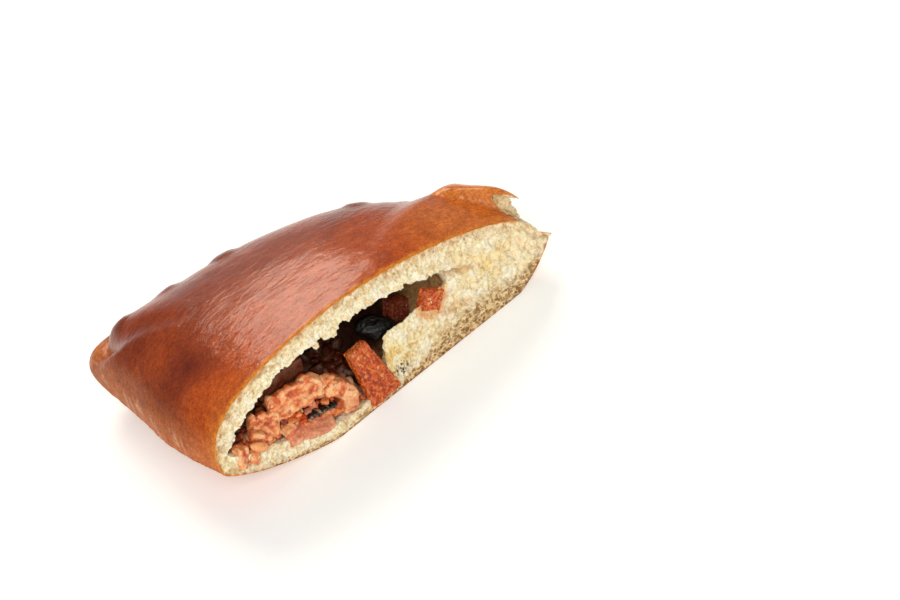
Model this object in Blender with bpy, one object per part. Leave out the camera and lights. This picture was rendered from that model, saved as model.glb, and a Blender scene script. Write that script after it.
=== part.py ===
"""Half of a baked calzone, cut across its middle and lying on its flat base.

The dough is one solid: a domed half-moon of bread with its folded side at -X, a crimped rope
along its rim, and a pocket that the cut at -Y lays open. In the pocket lie the filling's heap,
which runs through the food, and the larger pieces that show at the cut.
Metres, +Z up, the face of the cut towards -Y, the origin at the bottom centre of the whole.
"""

import math

import bmesh
import bpy
from mathutils import Euler, Vector

# Driving dimensions of the bread on the face of the cut. Places along X are measured from the
# cut's middle until the end of this file moves everything over the origin.
CUT_WIDTH = 0.131
HEIGHT = 0.0450
CROWN_X = -0.013
FOLD_EDGE_HEIGHT = 0.0185
RIM_EDGE_HEIGHT = 0.0120
BACK_EDGE_HEIGHT = 0.0158

# The outline seen from above: the fold is a straight side, and the rim is a superellipse
# centred on the fold's end of the cut. They meet in a pinched corner.
LENGTH = 0.080
RIM_POWER = 2.4
CORNER_SHARPNESS = 14
EAR_REACH = 0.0015
EAR_SPREAD = 0.10
FOLD_BOW = 0.0018

# Shares of the way out from the crown at which the flat of the base ends.
FLAT_TO_FOLD = 0.25
FLAT_TO_RIM = 0.80

# Rope of the crimped rim, and where its lobes end, going from the cut to the far corner.
ROPE_WIDTH = 0.014
ROPE_RISE = 0.0075
ROPE_START = (0.030, 0.044)
LOBE_ENDS = (0.047, 0.063, 0.081, 0.098, 0.115, 0.131, 0.150)
LOBE_DEPTH = 0.0022
LOBE_SLANT = 0.6
CREASE_WIDTH = 0.0022

# The first lobe by the cut stands up as a hump: a ridge along the rim between two places seen
# from above, highest by the cut and sinking into the rope.
HUMP_ENDS = ((0.0625, 0.0070), (0.0514, 0.0237))
HUMP_REACH = 0.0066
HUMP_RISE = (0.0098, 0.0040)

# Pocket: its sides on the face of the cut, its depth and the walls round it.
POCKET_FOLD_X = -0.0608
POCKET_RIM_X = 0.0265
POCKET_DEPTH = 0.050
POCKET_MOUTH = 0.004
POCKET_CENTRE_X = -0.016
BASE_WALL = 0.0040
BASE_SWELL = 0.0022
BASE_SWELL_X = -0.0440
BASE_SWELL_REACH = 0.0070
TOP_WALL = 0.0068

# A lip of bread stands on the base at the rim's side of the cut and falls away behind it.
LIP_HEIGHT = 0.0215
LIP_X = (-0.0004, 0.0026)
LIP_BACK = (0.0005, 0.0065)
LIP_BACK_HEIGHT = 0.0105

# Heap of filling behind the pieces at the cut.
HEAP_RIM_X = -0.0045
HEAP_SIDE_GAP = 0.0030
HEAP_FRONT = 0.0124
HEAP_END = 0.0440
HEAP_HEIGHT = 0.0185

# Clearance between neighbouring solids, and the millimetre in which small pieces are given.
GAP = 0.0003
MM = 0.001


def clear_scene():
    for old in list(bpy.data.objects):
        bpy.data.objects.remove(old, do_unlink=True)


def smoothstep(low, high, value):
    share = min(1.0, max(0.0, (value - low) / (high - low)))
    return share * share * (3 - 2 * share)


def blend(low, high, share):
    return low + (high - low) * share


def material(name, colour, roughness):
    made = bpy.data.materials.new(name)
    made.use_nodes = True
    surface = made.node_tree.nodes["Principled BSDF"]
    surface.inputs["Base Color"].default_value = (*colour, 1)
    surface.inputs["Roughness"].default_value = roughness
    surface.inputs["Metallic"].default_value = 0
    return made


def solid(name, shape, finish):
    mesh = bpy.data.meshes.new(name)
    bmesh.ops.recalc_face_normals(shape, faces=shape.faces)
    for face in shape.faces:
        face.smooth = len(face.verts) < 5
    shape.to_mesh(mesh)
    shape.free()
    mesh.materials.append(finish)
    mesh.set_sharp_from_angle(angle=math.radians(40))
    made = bpy.data.objects.new(name, mesh)
    bpy.context.scene.collection.objects.link(made)
    return made


# --- the bread's outside, a sphere whose points are moved by where they lie on it ---


def foldness(turn):
    """0 towards the rim, where turn is 0, and 1 towards the fold, where turn is pi."""
    return smoothstep(0.15, 1.0, 0.5 - 0.5 * math.cos(turn))


def rim_radius(turn):
    """Distance from the crown's axis to the rim's curve, found by halving."""
    near, far = 0.0, 2 * CUT_WIDTH
    for _ in range(30):
        reach = (near + far) / 2
        across = max(0.0, (reach * math.cos(turn) + CROWN_X) / CUT_WIDTH + 0.5)
        along = abs(reach * math.sin(turn)) / LENGTH
        if across**RIM_POWER + along**RIM_POWER > 1:
            far = reach
        else:
            near = reach
    return reach


def outline_radius(turn):
    """The rim's curve and the straight fold, met in a corner that sticks out a little."""
    rim = rim_radius(turn)
    along = (math.pi - abs(turn)) / (math.pi - CORNER_TURN)
    bow = FOLD_BOW * math.sin(1.25 * math.pi * min(1.4, along))
    fold = (CROWN_X + CUT_WIDTH / 2 + bow) / max(1e-6, -math.cos(turn))
    met = (rim**-CORNER_SHARPNESS + fold**-CORNER_SHARPNESS) ** (-1 / CORNER_SHARPNESS)
    ear = math.exp(-(((abs(turn) - CORNER_TURN) / EAR_SPREAD) ** 2))
    return met + EAR_REACH * ear


CORNER_TURN = math.atan2(LENGTH, -CROWN_X - CUT_WIDTH / 2)


def arc_table(steps=600):
    """Distances along the outline from the cut at the rim, at even steps of turn."""
    runs, last, run = [], None, 0.0
    for step in range(steps + 1):
        turn = math.pi * step / steps
        reach = outline_radius(turn)
        here = Vector((reach * math.cos(turn), reach * math.sin(turn)))
        run += (here - last).length if last else 0.0
        runs.append(run)
        last = here
    return runs


ARC = arc_table()


def arc_length(turn):
    place = abs(turn) / math.pi * (len(ARC) - 1)
    low = min(int(place), len(ARC) - 2)
    return blend(ARC[low], ARC[low + 1], place - low)


def crease(run):
    """1 in the crease between two lobes of the crimp, falling to 0 on their crests."""
    nearest = min(abs(run - end) for end in LOBE_ENDS)
    return math.exp(-((nearest / CREASE_WIDTH) ** 2))


def rope_share(turn):
    """1 where the rim is crimped: from just behind the cut to just past the far corner."""
    run = arc_length(turn)
    return smoothstep(*ROPE_START, run) * (
        1 - smoothstep(CORNER_TURN + 0.02, CORNER_TURN + 0.14, abs(turn))
    )


def edge_height(turn):
    """Height of the bread's widest line above its base."""
    behind = smoothstep(0.0, 1.2, abs(turn))
    low = blend(RIM_EDGE_HEIGHT, BACK_EDGE_HEIGHT, behind)
    return blend(low, FOLD_EDGE_HEIGHT, smoothstep(2.6, 3.1, abs(turn)))


def crown_height(turn, share):
    """The dome's height above its widest line, as a part of the whole, share of the way out."""
    fold = foldness(turn)
    back = abs(math.sin(turn))
    falloff = 1 - min(1.0, share) ** blend(blend(1.55, 2.0, fold), 3.1, back)
    return falloff ** blend(blend(0.5, 0.3, fold), 0.37, back)


def hump_at(x, y):
    """Rise of the hump over the dome, at a place seen from above."""
    (near_x, near_y), (far_x, far_y) = HUMP_ENDS
    run_x, run_y = far_x - near_x, far_y - near_y
    along = ((x - near_x) * run_x + (y - near_y) * run_y) / (run_x**2 + run_y**2)
    held = min(1.3, max(0.0, along))
    away = math.hypot(x - near_x - held * run_x, y - near_y - held * run_y)
    rounding = max(0.0, 1 - (away / HUMP_REACH) ** 2.6) ** 0.6
    rise = blend(*HUMP_RISE, smoothstep(0.0, 1.0, along))
    return rise * rounding * (1 - smoothstep(0.9, 1.35, along))


def top_height(turn, share, reach):
    """Height of the bread's upper skin, with the rope and the hump laid over the dome."""
    edge = edge_height(turn)
    plain = edge + (HEIGHT - edge) * crown_height(turn, share)
    rope = rope_share(turn)
    if rope > 0:
        inward = (1 - share) * reach
        inset = 0.62 * ROPE_WIDTH
        dome = edge + (HEIGHT - edge) * crown_height(turn, share / (1 - inset / reach))
        rounding = 1 - (2 * inward / ROPE_WIDTH - 1) ** 2
        crimp = crease(arc_length(turn) + LOBE_SLANT * inward)
        roll = edge + (ROPE_RISE - LOBE_DEPTH * crimp) * math.sqrt(max(0.0, rounding))
        roped = max(dome, roll)
        plain = blend(plain, roped, rope)
    x = CROWN_X + share * reach * math.cos(turn)
    y = share * reach * math.sin(turn)
    return plain + hump_at(x, y) * (1 - min(1.0, share) ** 24) ** 0.5


def base_height(turn, share):
    """Height of the bread's underside: flat in the middle, curling up to its widest line."""
    flat = blend(FLAT_TO_RIM, FLAT_TO_FOLD, smoothstep(1.9, 3.0, abs(turn)))
    curl = max(0.0, (share - flat) / (1 - flat))
    return edge_height(turn) * (1 - (1 - min(1.0, curl) ** 1.2) ** 0.7)


def bread_body(around=112, rows=32):
    shape = bmesh.new()
    bmesh.ops.create_uvsphere(shape, u_segments=around, v_segments=rows, radius=1)
    cut_front(shape, 0.0)
    for vert in shape.verts:
        turn = math.atan2(vert.co.y, vert.co.x)
        level = max(-1.0, min(1.0, vert.co.z))
        share = (1 - level * level) ** blend(0.62, 0.5, foldness(turn))
        reach = outline_radius(turn)
        if level >= 0:
            height = top_height(turn, share, reach)
        else:
            height = base_height(turn, share)
        bulge = 1 - LOBE_DEPTH / reach * crease(arc_length(turn)) * rope_share(turn)
        out = share * reach * bulge
        vert.co = Vector((CROWN_X + out * math.cos(turn), out * math.sin(turn), height))
    return shape


def cut_front(shape, y):
    """Takes away what lies in front of y and closes the face of the cut."""
    everything = [*shape.verts, *shape.edges, *shape.faces]
    found = bmesh.ops.bisect_plane(
        shape, geom=everything, plane_co=(0, y, 0), plane_no=(0, -1, 0), clear_outer=True
    )
    edges = [part for part in found["geom_cut"] if isinstance(part, bmesh.types.BMEdge)]
    bmesh.ops.holes_fill(shape, edges=edges, sides=0)


# --- the pocket ---


def place_of(x, y):
    """The turn and the share of the way out of a place seen from above."""
    turn = math.atan2(y, x - CROWN_X)
    reach = outline_radius(turn)
    return turn, min(1.0, math.hypot(x - CROWN_X, y) / reach), reach


def pocket_floor(x, y):
    turn, share, _ = place_of(x, y)
    swell = math.exp(-(((x - BASE_SWELL_X) / BASE_SWELL_REACH) ** 2))
    low = base_height(turn, share) + BASE_WALL + BASE_SWELL * swell
    lip = blend(LIP_HEIGHT, LIP_BACK_HEIGHT, smoothstep(*LIP_BACK, abs(y)))
    return low + max(0.0, lip - low) * smoothstep(*LIP_X, x)


def pocket_ceiling(x, y):
    turn, share, _ = place_of(x, y)
    edge = edge_height(turn)
    dome = edge + (HEIGHT - edge) * crown_height(turn, share)
    return dome - blend(TOP_WALL, 1.5 * TOP_WALL, share)


def pocket_half_width(side, y):
    """Half the pocket's width on one side of its middle, at a depth behind the cut."""
    narrow = (1 - min(1.0, max(0.0, y) / POCKET_DEPTH) ** 3) ** 0.4
    return abs(side - POCKET_CENTRE_X) * narrow


def pocket_span(x, y):
    """Heights of the pocket's lower and upper skin at a place."""
    side = POCKET_RIM_X if x > POCKET_CENTRE_X else POCKET_FOLD_X
    across = abs(x - POCKET_CENTRE_X) / pocket_half_width(side, y)
    rounding = max(0.0, 1 - across**3.3) ** 0.35
    closing = 0.4 + 0.6 * pocket_half_width(side, y) / pocket_half_width(side, 0)
    low = pocket_floor(x, y)
    high = max(low + 0.001, pocket_ceiling(x, y))
    half_height = (high - low) / 2 * rounding * closing
    return (low + high) / 2 - half_height, (low + high) / 2 + half_height


def pocket_ring(y, points=48):
    """The pocket's section at a depth behind the cut."""
    ring = []
    for point in range(points):
        angle = 2 * math.pi * point / points
        across = math.copysign(abs(math.cos(angle)) ** 0.6, math.cos(angle))
        side = POCKET_RIM_X if across > 0 else POCKET_FOLD_X
        x = POCKET_CENTRE_X + across * pocket_half_width(side, y)
        low, high = pocket_span(x, y)
        ring.append(Vector((x, y, high if math.sin(angle) > 0 else low)))
    return ring


def lofted(rings):
    """A closed body whose skin runs through the rings in turn, closed flat at both ends."""
    shape = bmesh.new()
    rows = [[shape.verts.new(point) for point in ring] for ring in rings]
    for near, far in zip(rows, rows[1:]):
        for side in range(len(near)):
            after = (side + 1) % len(near)
            shape.faces.new((near[side], near[after], far[after], far[side]))
    shape.faces.new(rows[0][::-1])
    shape.faces.new(rows[-1])
    return shape


def pocket_body(rows=16):
    """The hollow of the pocket, from in front of the face of the cut to its far end."""
    end = 0.97 * POCKET_DEPTH
    depths = [-POCKET_MOUTH] + [end * (row / rows) ** 1.5 for row in range(rows + 1)]
    return lofted([pocket_ring(y) for y in depths])


# --- the filling ---


def smooth_path(points, steps):
    """Points evenly spread on a curve that runs smoothly through the given ones."""
    ends = [2 * points[0] - points[1], *points, 2 * points[-1] - points[-2]]
    spans = len(points) - 1
    found = []
    for step in range(steps + 1):
        place = spans * step / steps
        low = min(int(place), spans - 1)
        t = place - low
        a, b, c, d = ends[low : low + 4]
        bend = (2 * a - 5 * b + 4 * c - d) * t * t + (3 * b - a - 3 * c + d) * t**3
        found.append((2 * b + (c - a) * t + bend) / 2)
    return found


def strip(path, across, width, thickness, steps=7, sides=12):
    """A slice of ham: a flat, round-cornered section drawn along a smooth path."""
    route = smooth_path([Vector(point) * MM for point in path], steps)
    rings = []
    for index, centre in enumerate(route):
        ahead = route[min(index + 1, steps)] - route[max(index - 1, 0)]
        normal = ahead.cross(Vector(across)).normalized()
        flat = normal.cross(ahead).normalized()
        taper = 1 - 0.25 * abs(2 * index / steps - 1) ** 6
        ring = []
        for side in range(sides):
            angle = 2 * math.pi * side / sides
            wide = math.copysign(abs(math.cos(angle)) ** 0.45, math.cos(angle))
            deep = math.copysign(abs(math.sin(angle)) ** 0.6, math.sin(angle))
            offset = flat * wide * width / 2 + normal * deep * thickness / 2
            ring.append(centre + offset * MM * taper)
        rings.append(ring)
    return lofted(rings)


def chunk(centre, size, turned, rounding, grow=0.0):
    """A cut block with softened edges, turned by angles about X, Y and Z."""
    shape = bmesh.new()
    bmesh.ops.create_cube(shape, size=1)
    spans = Vector(size) * MM + Vector((2 * grow,) * 3)
    bmesh.ops.scale(shape, vec=spans, verts=shape.verts)
    bmesh.ops.bevel(
        shape,
        geom=list(shape.edges),
        offset=rounding * MM + grow,
        segments=2,
        profile=0.5,
        affect="EDGES",
        clamp_overlap=True,
    )
    placing = Euler([math.radians(angle) for angle in turned]).to_matrix().to_4x4()
    bmesh.ops.transform(shape, matrix=placing, verts=shape.verts)
    bmesh.ops.translate(shape, vec=Vector(centre) * MM, verts=shape.verts)
    return shape


def pebble(centre, size, turned, around=14, rows=8):
    """A rounded piece such as the olive: a sphere drawn out and turned."""
    shape = bmesh.new()
    bmesh.ops.create_uvsphere(shape, u_segments=around, v_segments=rows, radius=0.5)
    bmesh.ops.scale(shape, vec=Vector(size) * MM, verts=shape.verts)
    placing = Euler([math.radians(angle) for angle in turned]).to_matrix().to_4x4()
    bmesh.ops.transform(shape, matrix=placing, verts=shape.verts)
    bmesh.ops.translate(shape, vec=Vector(centre) * MM, verts=shape.verts)
    return shape


def heap_top(x, y):
    """Height of the filling's heap, uneven as chopped ham lies."""
    swell = math.sin(x / 0.0042 + 1.3) * math.cos(y / 0.0051)
    return HEAP_HEIGHT + 0.0016 * swell + 0.0030 * smoothstep(HEAP_FRONT, POCKET_DEPTH, y)


def heap_body(rows=10, columns=18):
    """The filling from behind the pieces at the cut to the pocket's far end."""
    rings = []
    for row in range(rows + 1):
        y = blend(HEAP_FRONT, HEAP_END, row / rows)
        left = POCKET_CENTRE_X - pocket_half_width(POCKET_FOLD_X, y) + HEAP_SIDE_GAP
        below, above = [], []
        for column in range(columns + 1):
            x = blend(left, HEAP_RIM_X, column / columns)
            low, high = pocket_span(x, y)
            top = max(low + 5 * GAP, min(heap_top(x, y), high - 2 * GAP))
            below.append(Vector((x, y, low + 3 * GAP)))
            above.append(Vector((x, y, top)))
        rings.append(below + above[::-1])
    return lofted(rings)


# Slices of ham at the cut: the middle line, the direction across the slice, width, thickness.
HAM_SLICES = {
    "ham_long": (
        ((-41.6, 5.4, 21.0), (-36, 5, 22.2), (-30.5, 4.6, 22.6), (-25.8, 4.2, 23.4)),
        (0, 0.35, 0.94),
        10.2,
        3.2,
    ),
    "ham_left": (
        ((-50.6, 6.6, 20.6), (-47.5, 6.2, 20.2), (-44.2, 5.8, 18.4)),
        (0.2, 0.25, 0.94),
        7.6,
        3.0,
    ),
    "ham_curl": (
        ((-51.2, 2.4, 21.8), (-48.6, 1.9, 19.6), (-46.2, 2.0, 16.4)),
        (0, 1, 0),
        3.0,
        1.8,
    ),
    "ham_arch": (
        ((-21.8, 3.6, 16.2), (-18.2, 3.8, 15.2), (-16.4, 3.6, 11.6), (-17.8, 3.2, 7.6)),
        (0, 1, 0),
        6.2,
        3.2,
    ),
    "ham_low": (
        ((-37.6, 2.5, 11.8), (-33, 2.5, 9.4), (-28, 2.5, 7.8)),
        (0, 1, 0),
        4.8,
        3.8,
    ),
    "ham_behind": (
        ((-41, 10.1, 25.4), (-33, 10.3, 26.6), (-26, 10.3, 25.6)),
        (0, 0, 1),
        5.0,
        2.2,
    ),
    "mushroom_slice": (
        ((-31.8, 4.2, 14.9), (-28.2, 4.2, 14.3), (-25.6, 4.2, 13.9)),
        (0, 1, 0),
        4.6,
        1.6,
    ),
}

# Cut blocks at the cut: the centre, the size, the turns about X, Y and Z, and the rounding.
CHUNKS = {
    "ham_corner": ((-56.2, 2.6, 20.6), (3.0, 4.2, 5.0), (0, 20, 0), 0.8),
    "ham_end": ((-53.2, 2.4, 17.3), (3.6, 4.0, 2.8), (0, 30, 0), 0.8),
    "ham_chip": ((-22.4, 2.6, 20.5), (3.8, 3.0, 2.4), (0, 25, 0), 0.6),
    "ham_bit": ((-37.4, 1.7, 16.0), (3.8, 2.4, 2.0), (0, 10, 0), 0.5),
    "ham_knot": ((-22.6, 3.4, 10.3), (4.0, 4.6, 3.6), (0, 10, 0), 0.9),
    "sausage_block": ((-6.8, 3.2, 13.7), (9.4, 3.8, 16.4), (-25, -8, 0), 0.7),
    "sausage_cube": ((18.6, 3.8, 21.9), (9.2, 8.0, 7.8), (0, 35, 0), 0.7),
    "sausage_behind": ((12.4, 12.4, 17.4), (7.0, 5.2, 8.0), (0, 20, 0), 0.7),
}

# Rounded pieces: the centre, the size and the turns about X, Y and Z.
PEBBLES = {
    "olive": ((2.2, 8.4, 19.4), (12.4, 7.2, 7.0), (0, 23, -32)),
    "ham_lens": ((-49.3, 1.6, 16.9), (4.0, 2.6, 1.7), (0, 40, 0)),
    "dough_lump": ((-23.4, 2.0, 6.3), (5.6, 3.2, 2.8), (0, 0, 0)),
}

COLOURS = {
    "ham": (0.72, 0.30, 0.16),
    "sausage": (0.50, 0.09, 0.03),
    "olive": (0.010, 0.008, 0.006),
    "mushroom": (0.16, 0.10, 0.06),
    "dough": (0.86, 0.74, 0.46),
}


def build():
    clear_scene()
    dough = solid("dough", bread_body(), material("baked_dough", (0.40, 0.09, 0.02), 0.35))
    plain = material("cutter", (0.5, 0.5, 0.5), 0.5)
    hollows = {"pocket": pocket_body()}
    for name in ("sausage_cube", "sausage_block"):
        hollows[name] = chunk(*CHUNKS[name], grow=GAP)
    for name, shape in hollows.items():
        cutter = solid(name + "_cutter", shape, plain)
        cutter.hide_render = True
        cutter.display_type = "WIRE"
        carve = dough.modifiers.new(name, "BOOLEAN")
        carve.object = cutter
        carve.operation = "DIFFERENCE"
        carve.solver = "EXACT"
    finishes = {name: material(name, colour, 0.4) for name, colour in COLOURS.items()}
    finishes["filling"] = material("filling", (0.45, 0.16, 0.08), 0.45)
    solid("filling_heap", heap_body(), finishes["filling"])
    for name, recipe in HAM_SLICES.items():
        solid(name, strip(*recipe), finishes[name.split("_")[0]])
    for name, recipe in CHUNKS.items():
        solid(name, chunk(*recipe), finishes[name.split("_")[0]])
    for name, recipe in PEBBLES.items():
        solid(name, pebble(*recipe), finishes[name.split("_")[0]])
    stand_over_origin()


def stand_over_origin():
    """Moves everything so that the box round all the solids stands centred on the origin."""
    bpy.context.view_layer.update()
    graph = bpy.context.evaluated_depsgraph_get()
    solids = [item for item in bpy.data.objects if not item.hide_render]
    corners = [Vector(point) for item in solids for point in item.evaluated_get(graph).bound_box]
    low = Vector(min(corner[axis] for corner in corners) for axis in range(3))
    high = Vector(max(corner[axis] for corner in corners) for axis in range(3))
    for item in bpy.data.objects:
        item.location = -Vector(((low.x + high.x) / 2, (low.y + high.y) / 2, low.z))


build()
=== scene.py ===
"""The cut-open half of a baked calzone, lying on a pale table in soft studio light.

Places are worked out in metres with the face of the cut at y = 0, x counted from the middle of
the cut and z from the flat base; each finished mesh is then moved to the frame's own place.
"""

import math
import random

import bmesh
import bpy
from mathutils import Euler, Matrix, Quaternion, Vector, kdtree, noise


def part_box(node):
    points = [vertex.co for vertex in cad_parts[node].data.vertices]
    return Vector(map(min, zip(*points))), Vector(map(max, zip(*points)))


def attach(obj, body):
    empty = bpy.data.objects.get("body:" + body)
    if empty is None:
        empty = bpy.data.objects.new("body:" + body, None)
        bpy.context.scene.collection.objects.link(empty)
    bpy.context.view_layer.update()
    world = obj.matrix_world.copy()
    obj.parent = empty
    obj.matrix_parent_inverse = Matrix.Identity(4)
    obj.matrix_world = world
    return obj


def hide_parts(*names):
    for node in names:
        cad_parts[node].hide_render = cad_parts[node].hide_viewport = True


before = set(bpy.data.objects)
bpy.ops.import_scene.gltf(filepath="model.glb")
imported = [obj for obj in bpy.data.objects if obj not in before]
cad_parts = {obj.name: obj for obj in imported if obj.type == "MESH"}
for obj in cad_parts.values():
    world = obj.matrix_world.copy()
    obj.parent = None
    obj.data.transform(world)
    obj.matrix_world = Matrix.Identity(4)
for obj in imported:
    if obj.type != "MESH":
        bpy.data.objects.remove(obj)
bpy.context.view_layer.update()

# --- Bread ---
# One sheet of yeast dough folded over its filling, crimped along the rim, washed with egg and
# baked on its flat underside. The knife's cut shows its crumb, and the pocket that steam blew.

CUT_WIDTH = 0.131
HEIGHT = 0.0450
CROWN_X = -0.013
FOLD_EDGE_HEIGHT = 0.0185
RIM_EDGE_HEIGHT = 0.0120
BACK_EDGE_HEIGHT = 0.0158
LENGTH = 0.080
RIM_POWER = 2.4
CORNER_SHARPNESS = 14
EAR_REACH = 0.0015
EAR_SPREAD = 0.10
FOLD_BOW = 0.0018
FLAT_TO_FOLD = 0.25
FLAT_TO_RIM = 0.80
OUTLINE_STEPS = 1200

MM = 0.001


def ease(low, high, value):
    """0 at low and 1 at high, with no corner at either."""
    share = min(1.0, max(0.0, (value - low) / (high - low)))
    return share * share * (3 - 2 * share)


def blend(low, high, share):
    return low + (high - low) * share


def bell(away, reach):
    """1 in the middle, falling off on both sides over the reach."""
    return math.exp(-((away / reach) ** 2))


def rim_radius(turn):
    """Distance from the crown's axis to the rim's curve, found by halving."""
    near, far = 0.0, 2 * CUT_WIDTH
    for _ in range(30):
        reach = (near + far) / 2
        across = max(0.0, (reach * math.cos(turn) + CROWN_X) / CUT_WIDTH + 0.5)
        along = abs(reach * math.sin(turn)) / LENGTH
        if across**RIM_POWER + along**RIM_POWER > 1:
            far = reach
        else:
            near = reach
    return reach


CORNER_TURN = math.atan2(LENGTH, -CROWN_X - CUT_WIDTH / 2)


def outline_radius(turn):
    """The rim's curve and the straight fold, met in a corner that sticks out a little."""
    rim = rim_radius(turn)
    along = (math.pi - abs(turn)) / (math.pi - CORNER_TURN)
    bow = FOLD_BOW * math.sin(1.25 * math.pi * min(1.4, along))
    fold = (CROWN_X + CUT_WIDTH / 2 + bow) / max(1e-6, -math.cos(turn))
    met = (rim**-CORNER_SHARPNESS + fold**-CORNER_SHARPNESS) ** (-1 / CORNER_SHARPNESS)
    ear = bell(abs(turn) - CORNER_TURN, EAR_SPREAD)
    return met + EAR_REACH * ear


OUTLINE = [outline_radius(math.pi * step / OUTLINE_STEPS) for step in range(OUTLINE_STEPS + 1)]
ARC = [0.0]
for step in range(OUTLINE_STEPS):
    across_step = OUTLINE[step] * math.pi / OUTLINE_STEPS
    ARC.append(ARC[-1] + math.hypot(across_step, OUTLINE[step + 1] - OUTLINE[step]))


def from_table(table, turn):
    place = min(abs(turn), math.pi) / math.pi * OUTLINE_STEPS
    low = min(int(place), OUTLINE_STEPS - 1)
    return blend(table[low], table[low + 1], place - low)


# The crimp: a rope of lobes along the rim, whose first lobe stands up as a hump by the cut.
ROPE_WIDTH = 0.014
ROPE_RISE = 0.0075
ROPE_START = (0.030, 0.044)
LOBE_ENDS = (0.047, 0.063, 0.081, 0.098, 0.115, 0.131, 0.150)
LOBE_DEPTH = 0.0026
LOBE_SLANT = 0.6
CREASE_WIDTH = 0.0020
HUMP_ENDS = ((0.0625, 0.0070), (0.0514, 0.0237))
HUMP_REACH = 0.0066
HUMP_RISE = (0.0098, 0.0040)
# Lobes of the crimp that stand a little higher than the rest, seen from above.
HIGH_LOBES = ((-0.0516, 0.0672), (-0.0342, 0.0645), (-0.0143, 0.0592), (0.0278, 0.0430))
HIGH_LOBE_RISE = 0.0012
HIGH_LOBE_REACH = 0.0042


def foldness(turn):
    """0 towards the rim, where turn is 0, and 1 towards the fold, where turn is pi."""
    return ease(0.15, 1.0, 0.5 - 0.5 * math.cos(turn))


def crease(run):
    """1 in the crease between two lobes of the crimp, falling to 0 on their crests."""
    nearest = min(abs(run - end) for end in LOBE_ENDS)
    return bell(nearest, CREASE_WIDTH)


def rope_share(turn):
    """1 where the rim is crimped: from behind the hump to just past the far corner."""
    run = from_table(ARC, turn)
    return ease(*ROPE_START, run) * (
        1 - ease(CORNER_TURN + 0.02, CORNER_TURN + 0.14, abs(turn))
    )


def edge_height(turn):
    """Height of the bread's widest line above its base."""
    low = blend(RIM_EDGE_HEIGHT, BACK_EDGE_HEIGHT, ease(0.0, 1.2, abs(turn)))
    return blend(low, FOLD_EDGE_HEIGHT, ease(2.6, 3.1, abs(turn)))


def crown_height(turn, share):
    """The dome's height above its widest line, as a part of the whole, share of the way out."""
    fold = foldness(turn)
    back = abs(math.sin(turn))
    falloff = 1 - min(1.0, share) ** blend(blend(1.55, 2.0, fold), 3.1, back)
    return falloff ** blend(blend(0.5, 0.3, fold), 0.37, back)


def dome_height(turn, share):
    """Height of the plain dome, share of the way from its crown to the outline."""
    return blend(edge_height(turn), HEIGHT, crown_height(turn, share))


def hump_at(x, y):
    """Rise of the hump over the dome, at a place seen from above: a ridge along the rim."""
    (near_x, near_y), (far_x, far_y) = HUMP_ENDS
    run_x, run_y = far_x - near_x, far_y - near_y
    along = ((x - near_x) * run_x + (y - near_y) * run_y) / (run_x**2 + run_y**2)
    held = min(1.3, max(0.0, along))
    away = math.hypot(x - near_x - held * run_x, y - near_y - held * run_y)
    rounding = max(0.0, 1 - (away / HUMP_REACH) ** 2.6) ** 0.6
    rise = blend(*HUMP_RISE, ease(0.0, 1.0, along))
    return rise * rounding * (1 - ease(0.9, 1.35, along))


def top_height(turn, share, reach):
    """Height of the bread's upper skin, with the rope and the hump laid over the dome."""
    plain = dome_height(turn, share)
    rope = rope_share(turn)
    if rope > 0:
        inward = (1 - share) * reach
        inset = 0.62 * ROPE_WIDTH
        dome = dome_height(turn, share / (1 - inset / reach))
        rounding = 1 - (2 * inward / ROPE_WIDTH - 1) ** 2
        crimp = crease(from_table(ARC, turn) + LOBE_SLANT * inward)
        crimp *= ease(0.85 * ROPE_WIDTH, 0.4 * ROPE_WIDTH, inward)
        rise = (ROPE_RISE - LOBE_DEPTH * crimp) * math.sqrt(max(0.0, rounding))
        plain = blend(plain, max(dome, edge_height(turn) + rise), rope)
    x = CROWN_X + share * reach * math.cos(turn)
    y = share * reach * math.sin(turn)
    for lobe_x, lobe_y in HIGH_LOBES:
        away = math.hypot(x - lobe_x, y - lobe_y) / HIGH_LOBE_REACH
        plain += HIGH_LOBE_RISE * math.exp(-(away**4))
    return plain + hump_at(x, y) * (1 - share**24) ** 0.5


def base_height(turn, share):
    """Height of the bread's underside: flat in the middle, curling up to its widest line."""
    flat = blend(FLAT_TO_RIM, FLAT_TO_FOLD, ease(1.9, 3.0, abs(turn)))
    curl = max(0.0, (share - flat) / (1 - flat))
    return edge_height(turn) * (1 - (1 - min(1.0, curl) ** 1.2) ** 0.7)


# The spike at the cut's rim end, in mm.
SPIKE_HEIGHT = 11.6
SPIKE_SPREAD = 2.2
SPIKE_REACH = 2.6


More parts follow.
